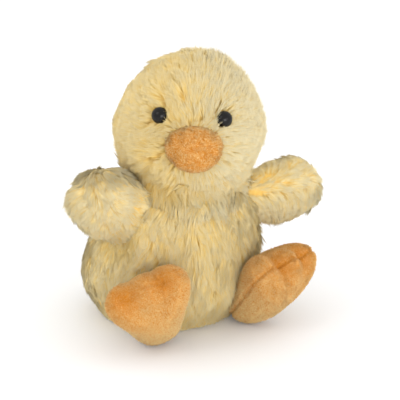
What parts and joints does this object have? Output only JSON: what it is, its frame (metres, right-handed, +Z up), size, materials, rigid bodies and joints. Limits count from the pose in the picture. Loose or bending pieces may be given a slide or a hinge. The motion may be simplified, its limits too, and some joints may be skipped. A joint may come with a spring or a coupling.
{
  "type": "plush chick",
  "caption": "Sitting plush chick: pear-shaped body, ball head turned aside, stubby bill, spread wings and webbed feet, all stuffed and hinged where sewn on.",
  "frame": {"origin": "middle of the flat base that the toy sits on", "axes": "+Z up, the body faces -Y, the chick's own left is +X"},
  "size_m": [0.1057, 0.0812, 0.1059],
  "materials": {
    "plush": "long cream-yellow pile, golden at the roots",
    "orange_cloth": "short brushed orange pile",
    "filling": "matte white polyester fibre",
    "pouch": "plain woven cotton",
    "thread": "twisted sewing thread",
    "eye": "polished black",
    "washer": "plain moulded"
  },
  "bodies": {
    "body": {"body_base": "plush", "body_belly": "plush", "body_back_left": "plush", "body_back_right": "plush", "body_filling": "filling", "pellet_pouch": "pouch"},
    "neck": {"neck_gather": "thread"},
    "head": {"head_face_left": "plush", "head_face_right": "plush", "head_back_left": "plush", "head_back_right": "plush", "head_filling": "filling", "left_eye": "eye", "right_eye": "eye", "left_eye_washer": "washer", "right_eye_washer": "washer", "beak_upper": "orange_cloth", "beak_lower": "orange_cloth", "beak_filling": "filling"},
    "left_wing": {"left_wing_upper": "plush", "left_wing_lower": "plush", "left_wing_filling": "filling"},
    "right_wing": {"right_wing_upper": "plush", "right_wing_lower": "plush", "right_wing_filling": "filling"},
    "left_foot": {"left_foot_top": "orange_cloth", "left_foot_sole": "orange_cloth", "left_foot_filling": "filling"},
    "right_foot": {"right_foot_top": "orange_cloth", "right_foot_sole": "orange_cloth", "right_foot_filling": "filling"}
  },
  "joints": [
    {"name": "head_turn", "type": "hinge", "parent": "body", "child": "neck", "pos_m": [0, -0.017, 0.0782], "axis": [0, 0, 1], "range_deg": [-15, 45], "stiffness_Nm_per_rad": 0.04},
    {"name": "head_nod", "type": "hinge", "parent": "neck", "child": "head", "pos_m": [0, -0.017, 0.0782], "axis": [0.891, -0.454, 0], "range_deg": [-10, 10], "stiffness_Nm_per_rad": 0.05},
    {"name": "left_wing_flap", "type": "hinge", "parent": "body", "child": "left_wing", "pos_m": [0.02511, -0.01368, 0.038], "axis": [-0.2588, -0.9659, 0], "range_deg": [-30, 8], "stiffness_Nm_per_rad": 0.03},
    {"name": "right_wing_flap", "type": "hinge", "parent": "body", "child": "right_wing", "pos_m": [-0.02519, -0.01341, 0.038], "axis": [-0.3256, 0.9455, 0], "range_deg": [-30, 8], "stiffness_Nm_per_rad": 0.03},
    {"name": "left_foot_flex", "type": "hinge", "parent": "body", "child": "left_foot", "pos_m": [0.02127, -0.02789, 0.00887], "axis": [0.9397, 0.342, 0], "range_deg": [-8, 25], "stiffness_Nm_per_rad": 0.03},
    {"name": "right_foot_flex", "type": "hinge", "parent": "body", "child": "right_foot", "pos_m": [-0.02042, -0.02755, 0.00907], "axis": [1, 0, 0], "range_deg": [-8, 25], "stiffness_Nm_per_rad": 0.03}
  ]
}
